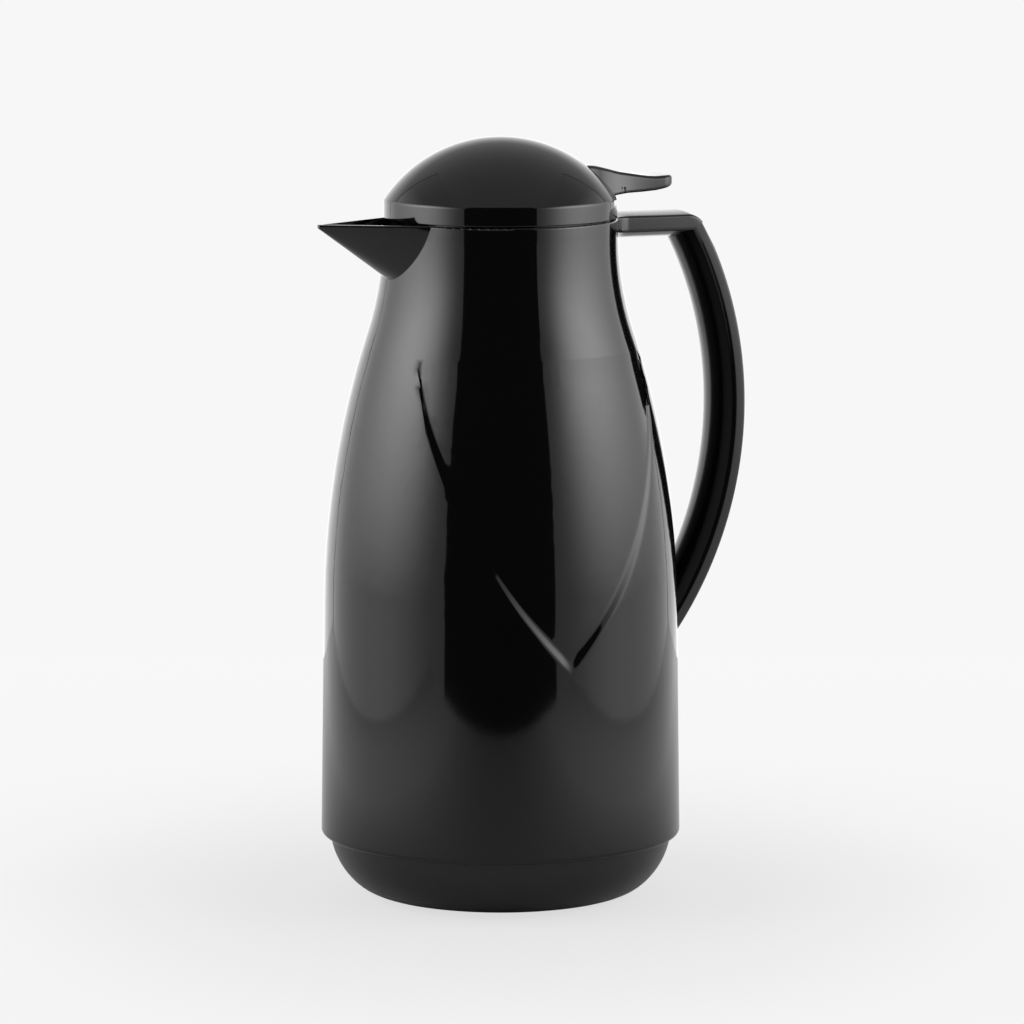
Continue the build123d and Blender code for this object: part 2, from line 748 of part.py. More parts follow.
def lever_outline(half_root, half_pad, z):
    """Plan of the thumb piece at a level: it flares from the pad towards the dome."""
    pad_start = band_radius + lever_pad_half
    tip = lever_reach
    root = pivot_x - lever_joint_gap * 4
    corner = min(lever_tip_radius, half_pad * 0.6)
    bend = Vector((root + pad_start) / 2, half_pad + (half_root - half_pad) * 0.28)
    edges = [
        Line((root, 0), (root, half_root)),
        ThreePointArc((root, half_root), bend, (pad_start, half_pad)),
        Line((pad_start, half_pad), (tip - corner, half_pad)),
        ThreePointArc(
            (tip - corner, half_pad),
            (tip - corner * (1 - sin(pi / 4)), half_pad - corner * (1 - cos(pi / 4))),
            (tip, half_pad - corner),
        ),
        Line((tip, half_pad - corner), (tip, 0)),
        Line((tip, 0), (root, 0)),
    ]
    half = make_face(Wire(edges))
    return Pos(0, 0, z) * half


def make_lever():
    """Thumb lever: skin flush with the dome, thumb piece, knuckle on the pin and fork under the stem."""
    skin_floor = band_top + lid_seam / 2
    skin = (dome_ball(0) - dome_ball(lever_wall)) & lever_spindle(0) & upper_block(skin_floor)
    skin = skin.solids().sort_by(Axis.X)[-1]
    low = lever_outline(lever_root_half, lever_pad_half, rim_z + lever_pad_bottom - 2)
    high = lever_outline(lever_root_half * 0.6, lever_pad_half - 0.4, rim_z + lever_top_z + 1)
    plan = loft([low, high], ruled=True)
    plan += mirror(plan, Plane.XZ)
    top_root = Vector(pivot_x - 8, 0, rim_z + lever_top_z)
    waist = Vector(pivot_x + lever_waist_reach, 0, rim_z + lever_waist_top)
    dip = Vector(lever_reach - lever_pad_length * 0.75, 0, rim_z + lever_pad_top)
    tip_top = Vector(lever_reach + 1, 0, rim_z + lever_pad_top + 0.6)
    tip_low = Vector(lever_reach + 1, 0, rim_z + lever_pad_bottom + 1.8)
    heel_low = Vector(lever_reach - lever_pad_length, 0, rim_z + lever_pad_bottom)
    belly = Vector(lever_reach - lever_pad_length * 0.4, 0, rim_z + lever_pad_bottom + 0.5)
    root_low = Vector(band_radius + lever_joint_gap, 0, rim_z + lever_pad_bottom - 1)
    side = make_face(
        Wire(
            [
                Spline(top_root, waist, dip, tip_top, tangents=[(1, 0, -0.3), (1, 0, 0.1)]),
                Line(tip_top, tip_low),
                ThreePointArc(tip_low, belly, heel_low),
                Line(heel_low, root_low),
                Line(root_low, Vector(pivot_x - 8, 0, rim_z + lever_pad_bottom - 1)),
                Line(Vector(pivot_x - 8, 0, rim_z + lever_pad_bottom - 1), top_root),
            ]
        )
    )
    profile = extrude(side, lever_spindle_half, both=True)
    wing = (plan & profile) - dome_ball(lever_wall)
    wing = wing & upper_block(skin_floor)
    keep = lever_spindle(0) + (upper_block(skin_floor) - dome_ball(0))
    lever = skin + (wing & keep)
    lever += lever_arm()
    width = 2 * lever_arm_half
    knuckle = bar_along((pivot_x, -lever_arm_half, pivot_z), (0, 1, 0), knuckle_radius, width)
    web = Pos(pivot_x, 0, pivot_z) * Box(lever_web_length, width, lever_spindle_rise, align=on_floor)
    web = web & dome_ball(lever_wall / 2) & lever_spindle(-1)
    lever += knuckle + web
    return lever - bar_along((pivot_x, -width, pivot_z), (0, 1, 0), pin_radius + pin_gap, 2 * width)


def lever_arm():
    """Arm from the pin to the stem, ending in a fork with round noses under the stem's head."""
    depth = lever_arm_depth
    arm = Box(pivot_x, 2 * lever_arm_half, depth, align=(Align.MIN, Align.CENTER, Align.CENTER))
    arm = Pos(0, 0, pivot_z) * arm
    arm += bar_along((0, -lever_arm_half, pivot_z), (0, 1, 0), depth / 2, 2 * lever_arm_half)
    slot_end = stem_radius + fork_slot_margin
    slot = Box(slot_end + depth, 2 * fork_slot_half, depth, align=(Align.MAX, Align.CENTER, Align.CENTER))
    return arm - Pos(slot_end, 0, pivot_z) * slot


def ear_outer():
    """Outer face of the pin's ears, from the middle plane."""
    return ear_inner + ear_width


def make_lever_pin():
    """Steel pin through the ears and the lever's knuckle."""
    return bar_along((pivot_x, -ear_outer(), pivot_z), (0, 1, 0), pin_radius, 2 * ear_outer())


def make_stopper():
    """Plate that closes the dome, with the stem's guide, the pin's ears and the cage of the pouring windows."""
    bore = stem_radius + stem_gap
    stopper = turned(
        polygon(
            [
                (bore, guide_z),
                (guide_radius, guide_z),
                (guide_radius, plate_z),
                (plate_radius, plate_z),
                (plate_radius, plate_top),
                (bore, plate_top),
            ]
        )
    )
    for angle in boss_angles():
        hole = ring(0, lid_screw_radius, plate_z - 1, plate_thickness + 2)
        hole += ring(0, lid_screw_head_radius, plate_z - 1, lid_screw_head_height + 1)
        stopper -= Rot(0, 0, angle) * Pos(boss_circle, 0, 0) * hole
    low = flange_z + seat_flange_thickness
    stopper += ring(cage_radius - cage_wall, cage_radius, low, cage_ring_height)
    width = degrees(cage_post_width / cage_radius)
    for index in range(cage_posts):
        angle = (index + 0.5) * 360 / cage_posts
        stopper += sector(cage_radius - cage_wall, cage_radius, low, plate_z - low, angle, width)
    return stopper + pin_ears()


def pin_ears():
    """Two ears on the plate that hold the lever's pin."""
    ears = Part()
    for side in (-1, 1):
        middle = side * (ear_inner + ear_width / 2)
        height = pivot_z - plate_top
        post = Box(2 * ear_radius, ear_width, height, align=(Align.CENTER, Align.CENTER, Align.MAX))
        eye = bar_along((0, -ear_width / 2, 0), (0, 1, 0), ear_radius, ear_width)
        eye = post + eye - bar_along((0, -ear_width / 2, 0), (0, 1, 0), pin_radius, ear_width)
        ears += Pos(pivot_x, middle, pivot_z) * eye
    return ears & ring(0, plate_radius, plate_top, height + ear_radius)


def make_seat_cup():
    """Lower end of the stopper: valve seat, flange for the seal and the bayonet lugs."""
    tube_top = flange_z + seat_flange_thickness
    cup = ring(cage_radius - cage_wall, cage_radius, seat_z, tube_top - seat_z)
    cup += ring(seat_bore_radius, cage_radius - cage_wall / 2, seat_z, seat_thickness)
    cup += ring(cage_radius - cage_wall / 2, seat_flange_radius, flange_z, seat_flange_thickness)
    lug_z = collar_floor_z - lug_gap - lug_height
    for index in range(lug_count):
        place = index * 360 / lug_count
        reach = cage_radius + lug_width
        cup += sector(cage_radius - cage_wall / 2, reach, lug_z, lug_height, place, lug_angle)
    return cup


def make_stopper_seal():
    """Silicone ring under the flange."""
    return ring(cage_radius, seat_flange_radius, flange_z - stopper_seal_thickness, stopper_seal_thickness)


def make_lid_screws():
    """Three screws from under the plate into the dome."""
    screws = Part()
    for angle in boss_angles():
        screw = ring(0, lid_screw_head_radius, plate_z, lid_screw_head_height)
        screw += ring(0, lid_screw_radius, plate_z, lid_screw_length - 2)
        screw -= ring(0, lid_screw_radius * 0.7, plate_z, lid_screw_head_height * 0.7)
        screws += Rot(0, 0, angle) * Pos(boss_circle, 0, 0) * screw
    return screws


def make_valve_stem():
    """Stem with the head that the fork lifts."""
    top = head_z + head_thickness + head_nut_height + stem_over_head
    return ring(0, stem_radius, disc_z, top - disc_z) + ring(0, head_radius, head_z, head_thickness)


def make_stem_nut():
    """Nut over the head."""
    nut = Pos(0, 0, head_z + head_thickness) * extrude(RegularPolygon(head_nut_radius, 6), head_nut_height)
    return nut - ring(0, stem_radius, head_z, 3 * head_thickness)


def make_valve_disc():
    """Disc that carries the valve seal."""
    disc = ring(0, valve_disc_radius, disc_z, valve_disc_thickness)
    disc += ring(0, valve_hub_radius, disc_top, valve_hub_height)
    return disc - ring(0, stem_radius, disc_z - 1, valve_disc_thickness + valve_hub_height + 2)


def make_valve_seal():
    """Silicone disc under the valve disc."""
    return ring(0, valve_disc_radius - valve_seal_inset, valve_z, valve_seal_thickness)


def make_valve_spring():
    """Compression spring between the valve disc and the plate, in arcs of a quarter turn."""
    low = disc_top + spring_wire_radius
    rise = (plate_z - disc_top - 2 * spring_wire_radius) / (4 * spring_turns)
    spots = []
    for quarter in range(4 * spring_turns + 1):
        spot = Vector(spring_coil_radius, 0, low + quarter * rise)
        spots.append(spot.rotate(Axis.Z, 90 * quarter))
    heading = Vector(0, spring_coil_radius * pi / 2, rise)
    arcs = []
    for start, end in zip(spots, spots[1:]):
        arcs.append(TangentArc(start, end, tangent=heading))
        heading = arcs[-1] % 1
    wire = RegularPolygon(spring_wire_radius, spring_wire_sides)
    return sweep(Plane(origin=spots[0], z_dir=arcs[0] % 0) * wire, Wire(arcs))


NODES = {
    "body_shell": make_body_shell,
    "handle": make_handle,
    "handle_screws": make_handle_screws,
    "neck_collar": make_collar,
    "neck_gasket": make_neck_gasket,
    "liner_outer_glass": make_liner_outer,
    "liner_inner_glass": make_liner_inner,
    "liner_cushion": make_liner_cushion,
    "base_cup": make_base_cup,
    "foot_ring": make_foot_ring,
    "lid_dome": make_lid_dome,
    "lid_screws": make_lid_screws,
    "stopper_body": make_stopper,
    "valve_seat_cup": make_seat_cup,
    "stopper_seal": make_stopper_seal,
    "thumb_lever": make_lever,
    "lever_pin": make_lever_pin,
    "valve_stem": make_valve_stem,
    "stem_nut": make_stem_nut,
    "valve_disc": make_valve_disc,
    "valve_seal": make_valve_seal,
    "valve_spring": make_valve_spring,
}

os.makedirs("parts", exist_ok=True)
for name, make in NODES.items():
    piece = make()
    export_step(piece, f"parts/{name}.step")
    print(name, round(piece.volume, 1))
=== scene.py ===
import json
from math import cos, exp, pi, radians, sin, sqrt, tan

import bmesh
import bpy
from mathutils import Matrix, Vector


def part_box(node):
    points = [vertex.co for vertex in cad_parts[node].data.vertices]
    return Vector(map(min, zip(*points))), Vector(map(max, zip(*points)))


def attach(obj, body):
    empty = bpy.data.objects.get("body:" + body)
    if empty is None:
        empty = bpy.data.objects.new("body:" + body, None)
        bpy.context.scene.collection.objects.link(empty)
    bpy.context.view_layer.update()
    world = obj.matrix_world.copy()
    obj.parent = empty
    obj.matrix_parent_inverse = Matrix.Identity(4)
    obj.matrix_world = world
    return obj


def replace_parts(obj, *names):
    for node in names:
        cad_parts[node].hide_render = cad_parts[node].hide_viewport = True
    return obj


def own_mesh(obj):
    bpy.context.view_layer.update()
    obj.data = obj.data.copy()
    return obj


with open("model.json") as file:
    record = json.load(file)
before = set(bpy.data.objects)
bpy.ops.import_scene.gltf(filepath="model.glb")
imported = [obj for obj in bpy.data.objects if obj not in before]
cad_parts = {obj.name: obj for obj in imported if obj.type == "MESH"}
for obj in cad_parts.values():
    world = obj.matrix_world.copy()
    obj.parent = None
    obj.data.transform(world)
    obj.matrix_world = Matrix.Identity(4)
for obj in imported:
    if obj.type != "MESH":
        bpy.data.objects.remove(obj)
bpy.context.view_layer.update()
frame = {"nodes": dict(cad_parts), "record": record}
nodes = frame["nodes"]
print("frame loaded:", len(nodes), "nodes")


# Shader maths as plain expressions: every operator adds its Math node
class Socket:
    def __init__(self, graph, socket):
        self.graph = graph
        self.socket = socket

    def math(self, operation, *values):
        return self.graph.node("ShaderNodeMath", {"operation": operation}, dict(enumerate(values)))

    def __add__(self, other):
        return self.math("ADD", self, other)

    def __radd__(self, other):
        return self.math("ADD", other, self)

    def __sub__(self, other):
        return self.math("SUBTRACT", self, other)

    def __rsub__(self, other):
        return self.math("SUBTRACT", other, self)

    def __mul__(self, other):
        return self.math("MULTIPLY", self, other)

    def __rmul__(self, other):
        return self.math("MULTIPLY", other, self)

    def __truediv__(self, other):
        return self.math("DIVIDE", self, other)

    def exp(self):
        return self.math("EXPONENT", self)

    def step(self, low, high):  # smooth step from 0 at low to 1 at high
        smooth = {"interpolation_type": "SMOOTHSTEP"}
        return self.graph.node("ShaderNodeMapRange", smooth, {0: self, 1: low, 2: high})

    def slope(self, low, high, start, end):  # straight from start at low to end at high
        ends = {0: self, 1: low, 2: high, 3: start, 4: end}
        return self.graph.node("ShaderNodeMapRange", None, ends)


class Graph:
    def __init__(self, tree):
        self.tree = tree
        tree.nodes.clear()

    def node(self, kind, settings=None, inputs=None, output=0):
        made = self.tree.nodes.new(kind)
        for name, value in (settings or {}).items():
            setattr(made, name, value)
        for name, value in (inputs or {}).items():
            if isinstance(value, Socket):
                self.tree.links.new(value.socket, made.inputs[name])
            else:
                made.inputs[name].default_value = value
        return Socket(self, made.outputs[output]) if made.outputs else None


def newMaterial(name):
    material = bpy.data.materials.new(name)
    material.use_nodes = True
    return material, Graph(material.node_tree)


def objectPlace(graph):
    return graph.node("ShaderNodeTexCoord", output=3)


def alongAxis(graph, axis):
    inputs = {0: objectPlace(graph), 1: axis}
    return graph.node("ShaderNodeVectorMath", {"operation": "DOT_PRODUCT"}, inputs, output=1)


def cameraRay(graph):
    return graph.node("ShaderNodeLightPath")


def newObject(name, data):
    made = bpy.data.objects.new(name, data)
    bpy.context.scene.collection.objects.link(made)
    return made


def newMesh(name, bm):
    mesh = bpy.data.meshes.new(name)
    bm.to_mesh(mesh)
    bm.free()
    return mesh


# Camera, as the photograph was taken: long lens, a little above, the spout to the left and near
cameraView = {
    "lens": 197.6,
    "sensor": 36,
    "distance": 2.0874,
    "height": 0.4323,
    "azimuth": 22.8,
    "pitchDown": 7.86,
    "shiftX": 0.01123,
    "farEnd": 20,
}


def placeCamera(view):
    data = bpy.data.cameras.new("camera")
    data.lens = view["lens"]
    data.sensor_width = view["sensor"]
    data.shift_x = view["shiftX"]
    data.clip_end = view["farEnd"]
    camera = newObject("camera", data)
    turn = radians(view["azimuth"])
    away = view["distance"]
    camera.location = (-away * sin(turn), -away * cos(turn), view["height"])
    camera.rotation_euler = (radians(90 - view["pitchDown"]), 0, -turn)
    bpy.context.scene.camera = camera


placeCamera(cameraView)

# Light tent: pale floor, lit side walls, pale back wall and ceiling, open and dark to the camera
tent = {
    "halfWidth": 0.52,
    "frontEdge": 0.74,
    "floorEdge": 0.54,  # where the floor ends in front
    "backEdge": 0.54,
    "cornerGap": 0.016,  # dark slot between a side wall and the back wall
    "height": 1.05,
    "drop": 0.14,  # how far the side walls go on below the floor
    "white": (0.93, 0.93, 0.93, 1),  # background
    "dark": (0.05, 0.05, 0.05, 1),  # the room outside the tent
    "darkLevel": 0.4,
    "floorColourPaintedShade": (0.43, 0.86),  # painted shade: the floor's colour is darker in the middle than at the sides
    "paintedShadeReach": 0.32,  # square of the share of the half width at which the sides start
    "floorPaintedGlow": (0.9, 0.935),  # painted light: white glow on the floor that only the camera sees, at the front and the back
    "paintedGlowBlend": (0.74, 0.08, 0.31),  # share of that painted glow up to one distance, whole at the next
    "sideTop": 0.55,  # level of the side walls above their glow
    "sideBase": (0.1, 1.1),  # added below it, in the middle and at the back
    "sideGlow": 6.15,
    "glowPlace": -0.13,
    "glowWidth": 0.285,
    "glowFoot": (0.07, 0.15),  # height, and share of the glow there
    "glowFull": 0.36,
    "glowFade": (0.42, 0.75),
    "backGlow": (0.32, 0.62, 1.5, 0.6),  # two heights, and the level at each
    "ceilingGlow": 0.6,
}
plainWhite = (1, 1, 1, 1)
tentTurn = Matrix.Rotation(-radians(cameraView["azimuth"]), 4, "Z")
tentAcross = tentTurn @ Vector((1, 0, 0))
tentAway = tentTurn @ Vector((0, 1, 0))


def tentPanel(name, size, spot, tilt, material):
    bm = bmesh.new()
    bmesh.ops.create_grid(bm, x_segments=1, y_segments=1, size=0.5)
    place = tentTurn @ Matrix.Translation(spot) @ tilt @ Matrix.Diagonal((*size, 1, 1))
    bmesh.ops.transform(bm, matrix=place, verts=bm.verts)
    panel = newObject(name, newMesh(name, bm))
    panel.data.materials.append(material)
    return panel


def wallMaterial(name, glow):
    material, graph = newMaterial(name)
    light = {"Color": plainWhite, "Strength": glow(graph)}
    emission = graph.node("ShaderNodeEmission", None, light)
    graph.node("ShaderNodeOutputMaterial", None, {"Surface": emission})
    return material


def floorMaterial(look):
    material, graph = newMaterial("tentFloor")
    aside = alongAxis(graph, tentAcross) / look["halfWidth"]
    # Painted shade: the floor's colour is darker in the middle than at the sides
    albedoWithPaintedShade = (aside * aside).slope(0, look["paintedShadeReach"], *look["floorColourPaintedShade"])
    diffuse = graph.node("ShaderNodeBsdfDiffuse", None, {"Color": albedoWithPaintedShade})
    # Painted light: for the camera the floor glows white, a little dimmer at the front, and near
    # the jug part of the lit floor shows through
    away = alongAxis(graph, tentAway)
    level = away.slope(-look["frontEdge"], look["backEdge"], *look["floorPaintedGlow"])
    white = graph.node("ShaderNodeEmission", None, {"Color": plainWhite, "Strength": level})
    length = {"operation": "LENGTH"}
    distance = graph.node("ShaderNodeVectorMath", length, {0: objectPlace(graph)}, output=1)
    blend, near, end = look["paintedGlowBlend"]
    share = (blend + (1 - blend) * distance.step(near, end)) * cameraRay(graph)
    surface = graph.node("ShaderNodeMixShader", None, {0: share, 1: diffuse, 2: white})
    graph.node("ShaderNodeOutputMaterial", None, {"Surface": surface})
    return material


def buildTent(look):
    width, height = look["halfWidth"], look["height"]
    front, back = -look["frontEdge"], look["backEdge"]

    def sideGlow(graph):
        up = alongAxis(graph, (0, 0, 1))
        away = alongAxis(graph, tentAway)
        off = (away - look["glowPlace"]) / look["glowWidth"]
        spot = (-1 * off * off).exp()
        start, foot = look["glowFoot"]
        rise = up.slope(start, look["glowFull"], foot, 1.0)
        fade = 1 - up.step(*look["glowFade"])
        base = away.slope(0, back, *look["sideBase"])
        return look["sideTop"] + fade * (base + look["sideGlow"] * spot * rise)

    def backGlow(graph):
        return alongAxis(graph, (0, 0, 1)).slope(*look["backGlow"])

    side = wallMaterial("tentSide", sideGlow)
    backWall = wallMaterial("tentBack", backGlow)
    ceiling = wallMaterial("tentCeiling", lambda graph: look["ceilingGlow"])
    level = Matrix.Identity(4)
    upright = Matrix.Rotation(pi / 2, 4, "X")
    sideTilt = Matrix.Rotation(pi / 2, 4, "Z") @ upright
    sideSize = (back - look["cornerGap"] - front, height + look["drop"])
    sideY, sideZ = front + sideSize[0] / 2, height - sideSize[1] / 2
    topY = (front + back) / 2
    walls = [
        ("tentLeft", sideSize, (-width, sideY, sideZ), sideTilt, side),
        ("tentRight", sideSize, (width, sideY, sideZ), sideTilt, side),
        ("tentBackWall", (2 * width, height), (0, back, height / 2), upright, backWall),
        ("tentTop", (2 * width, back - front), (0, topY, height), level, ceiling),
    ]
    for wall in walls:
        panel = tentPanel(*wall)
        panel.visible_camera = False
        panel.visible_shadow = False
    floorSize = (2 * width, back + look["floorEdge"])
    floorY = (back - look["floorEdge"]) / 2
    tentPanel("tentFloor", floorSize, (0, floorY, 0), level, floorMaterial(look))


def buildWorld(look):
    world = bpy.data.worlds.new("studio")
    bpy.context.scene.world = world
    world.use_nodes = True
    graph = Graph(world.node_tree)
    white = {"Color": look["white"], "Strength": 1.0}
    dark = {"Color": look["dark"], "Strength": look["darkLevel"]}
    grounds = [graph.node("ShaderNodeBackground", None, ground) for ground in (dark, white)]
    inputs = {0: cameraRay(graph), 1: grounds[0], 2: grounds[1]}
    surface = graph.node("ShaderNodeMixShader", None, inputs)
    graph.node("ShaderNodeOutputWorld", None, {"Surface": surface})


buildTent(tent)
buildWorld(tent)
bpy.context.scene.view_settings.view_transform = "Standard"
print("camera and tent placed")

# Finishes: colour, gloss, how cloudy the gloss is, and the fine surface's depth and fineness
finishes = {
    "body_plastic": {
        "colour": (0.0021, 0.0021, 0.0023), "roughness": 0.055, "ior": 1.43,
        "cloud": 0.25, "depth": 0.000004, "scale": 140,
    },
    "handle_plastic": {
        "colour": (0.003, 0.003, 0.0033), "roughness": 0.13, "ior": 1.45,
        "cloud": 0.2, "depth": 0.00002, "scale": 2600,
    },
    "base_plastic": {
        "colour": (0.007, 0.007, 0.0073), "roughness": 0.3, "ior": 1.45,
        "cloud": 0.25, "depth": 0.00004, "scale": 2200,
    },
    "inner_plastic": {
        "colour": (0.006, 0.006, 0.0063), "roughness": 0.3, "ior": 1.45,
        "cloud": 0.2, "depth": 0.00003, "scale": 2200,
    },
    "soft_rubber": {
        "colour": (0.012, 0.012, 0.012), "roughness": 0.7, "ior": 1.45,
        "cloud": 0.2, "depth": 0.00006, "scale": 1500,
    },
    "silicone": {
        "colour": (0.62, 0.62, 0.6), "roughness": 0.42, "ior": 1.42,
        "cloud": 0.2, "depth": 0.00002, "scale": 900,
    },
    "silvered_glass": {
        "colour": (0.86, 0.87, 0.88), "roughness": 0.06, "ior": 1.5, "metal": 1.0,
        "cloud": 0.5, "depth": 0.00003, "scale": 60,
    },
    "screw_steel": {
        "colour": (0.56, 0.57, 0.58), "roughness": 0.28, "ior": 1.5, "metal": 1.0,
        "cloud": 0.4, "depth": 0.00001, "scale": 1800,
    },
}
cloudNoise = {"Scale": 40.0, "Detail": 3.0}
reliefDetail = 2.0


def finish(name, look):
    material, graph = newMaterial(name)
    place = objectPlace(graph)
    cloud = graph.node("ShaderNodeTexNoise", None, {"Vector": place, **cloudNoise})
    fine = {"Vector": place, "Scale": look["scale"], "Detail": reliefDetail}
    relief = graph.node("ShaderNodeTexNoise", None, fine)
    bump = {"Strength": 1.0, "Distance": look["depth"], "Height": relief}
    shader = {
        "Base Color": (*look["colour"], 1),
        "Metallic": look.get("metal", 0.0),
        "Roughness": look["roughness"] * (1 + look["cloud"] * (cloud - 0.5)),
        "IOR": look["ior"],
        "Normal": graph.node("ShaderNodeBump", None, bump),
    }
    surface = graph.node("ShaderNodeBsdfPrincipled", None, shader)
    graph.node("ShaderNodeOutputMaterial", None, {"Surface": surface})
    return material


materials = {name: finish(name, look) for name, look in finishes.items()}
slots = {part["node"]: part["material_slot"] for part in frame["record"]["subparts"]}
for name, node in nodes.items():
    if slots[name] in materials:
        node.data.materials.clear()
        node.data.materials.append(materials[slots[name]])
print("finishes made")

# Pieces in metres, on the frame's own axes; these are the closeness at which places count as one
weld = 0.000002
speck = 0.00001
hair = 0.0001
creaseAngle = 35


def addPiece(name, bm, body, slot):
    bm.normal_update()
    for face in bm.faces:
        face.smooth = True
    for edge in bm.edges:
        edge.smooth = edge.calc_face_angle(0) < radians(creaseAngle)
    piece = newObject(name, newMesh(name, bm))
    piece.data.materials.append(materials[slot])
    even = piece.modifiers.new("evenNormals", "WEIGHTED_NORMAL")
    even.keep_sharp = True
    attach(piece, body)
    return piece


def mergedCopy(mesh):
    bm = bmesh.new()
    bm.from_mesh(mesh)
    bmesh.ops.remove_doubles(bm, verts=bm.verts, dist=weld)
    return bm


def reportOpen(name, bm):
    print(name, "open edges:", sum(not edge.is_manifold for edge in bm.edges))


def crosses(edge, reach=0.001):  # an edge that runs across the piece, over a least length
    one, two = (vert.co for vert in edge.verts)
    return abs(one.y - two.y) > reach


def firstEdge(geom):
    return next(item for item in geom if isinstance(item, bmesh.types.BMEdge))


def growStrip(bm, edge, spots):  # the strip's last edge is drawn out to the next two places
    out = bmesh.ops.extrude_edge_only(bm, edges=[edge])
    verts = [item for item in out["geom"] if isinstance(item, bmesh.types.BMVert)]
    verts.sort(key=lambda vert: vert.co.z)
    for vert, (x, z) in zip(verts, sorted(spots, key=lambda spot: spot[1])):
        vert.co = Vector((x, vert.co.y, z))
    return firstEdge(out["geom"])


def thicken(bm, width):  # a flat strip at y = 0 becomes a solid, centred
    bmesh.ops.recalc_face_normals(bm, faces=bm.faces)
    bm.normal_update()
    bmesh.ops.solidify(bm, geom=bm.faces[:], thickness=width)
    low = min(vert.co.y for vert in bm.verts)
    high = max(vert.co.y for vert in bm.verts)
    bmesh.ops.translate(bm, vec=(0, -(low + high) / 2, 0), verts=bm.verts)


def softBevel(bm, edges, offset, segments):
    bm.normal_update()
    bmesh.ops.bevel(
        bm,
        geom=edges,
        offset=offset,
        offset_type="OFFSET",
        affect="EDGES",
        segments=segments,
        profile=0.5,
        material=-1,
        clamp_overlap=False,
    )


# Handle: a level arm from the neck and one long curve, flat at the sides, crowned inside and out
handleLook = {
    "width": 0.026,
    "curveRadius": 0.1444,  # of the outer face
    "curveX": -0.0494,
    "curveZ": 0.1822,
    "curveSteps": 44,
    "topZ": 0.2545,
    "sideDepth": 0.0043,
    "armDepth": 0.0056,
    "innerCrown": 0.0056,
    "armCrown": 0.0032,
    "outerCrown": 0.0011,
    "crownCuts": 13,
    "bendRadius": 0.007,
    "bendTurn": 60,
    "bendEase": 1.5,
    "bendSegments": 7,
    "rootX": 0.0405,
    "flareX": 0.0468,
    "flare": 0.0035,
    "flareSteps": 8,
    "sweep": (39, 24.5),  # degrees below and above the curve's middle
    "nearCorner": (25.8, 27.9),  # degrees at which the inner and outer lines leave the curve
    "endX": 0.065,
    "footReach": 0.004,
    "edge": 0.0009,
    "edgeTurn": 50,
    "edgeSegments": 4,
}


def handleCorner(look, deep, crown):  # where the level face and the curve's face meet
    z = look["topZ"] + look["outerCrown"] * crown
    radius = look["curveRadius"] + look["outerCrown"] * crown
    if deep:
        z = look["topZ"] - look["armDepth"] - look["armCrown"] * crown
        radius = look["curveRadius"] - look["sideDepth"] - look["innerCrown"] * crown
    return look["curveX"] + sqrt(radius**2 - (z - look["curveZ"]) ** 2), z


def drawHandle(bm, look, centre, radii):  # its side view as a flat strip, from the foot to the neck
    low, high = (radians(turn) for turn in look["sweep"])
    start = Vector((cos(low), 0, -sin(low)))
    ends = [bm.verts.new(centre + radius * start) for radius in radii]
    swept = bmesh.ops.spin(
        bm,
        geom=[*ends, bm.edges.new(ends)],
        cent=centre,
        axis=(0, -1, 0),
        angle=low + high,
        steps=look["curveSteps"],
    )
    turns = [radians(turn) for turn in look["nearCorner"]]
    onward = [
        (centre.x + radius * cos(turn), centre.z + radius * sin(turn))
        for radius, turn in zip(radii, turns)
    ]
    edge = growStrip(bm, firstEdge(swept["geom_last"]), onward)
    edge = growStrip(bm, edge, [handleCorner(look, deep, 0) for deep in (True, False)])
    bottom, top = look["topZ"] - look["armDepth"], look["topZ"]
    for step in range(look["flareSteps"] + 1):
        x = look["flareX"] + (look["rootX"] - look["flareX"]) * step / look["flareSteps"]
        edge = growStrip(bm, edge, [(x, bottom), (x, top)])


def crownHandle(bm, look, centre, radii, bendReach):  # wide faces swell, and the arm's root widens
    half = look["width"] / 2
    cornerX = handleCorner(look, False, 0)[0]
    innerX, innerZ = handleCorner(look, True, 0)
    upright = Vector((0, 0, 1))
    for vert in bm.verts:
        bulge = 1 - (vert.co.y / half) ** 2
        out = Vector((vert.co.x, 0, vert.co.z)) - centre
        onCurve = out.length * sin(radians(look["nearCorner"][0])) + 2 * hair > out.z
        if onCurve:
            deep = out.length < sum(radii) / 2
            away = out.normalized()
        else:
            deep = vert.co.z < look["topZ"] - look["armDepth"] / 2
            past = (vert.co.x - cornerX + bendReach) / (look["bendEase"] * bendReach)
            away = upright.lerp(out.normalized(), min(1, max(0, past))).normalized()
        if not deep:
            vert.co += away * look["outerCrown"] * bulge
        elif onCurve:
            vert.co -= away * look["innerCrown"] * bulge
        elif vert.co.x > innerX - 2 * hair:
            x, z = handleCorner(look, True, bulge)
            vert.co += Vector((x - innerX, 0, z - innerZ))
        else:
            vert.co -= upright * look["armCrown"] * bulge
        if vert.co.x < look["flareX"]:
            wider = ((look["flareX"] - vert.co.x) / (look["flareX"] - look["rootX"])) ** 2
            vert.co.y *= 1 + wider * look["flare"] / half


def cutFoot(bm, look):  # the foot ends upright, inside the body's wall
    def isLow(item):
        return all(vert.co.z < look["curveZ"] for vert in item.verts)

    low = [vert for vert in bm.verts if vert.co.z < look["curveZ"]]
    low += [item for items in (bm.edges, bm.faces) for item in items if isLow(item)]
    place = (look["endX"], 0, 0)
    cut = bmesh.ops.bisect_plane(
        bm, geom=low, plane_co=place, plane_no=(1, 0, 0), clear_inner=True
    )
    rim = [item for item in cut["geom_cut"] if isinstance(item, bmesh.types.BMEdge)]
    bmesh.ops.edgeloop_fill(bm, edges=rim)


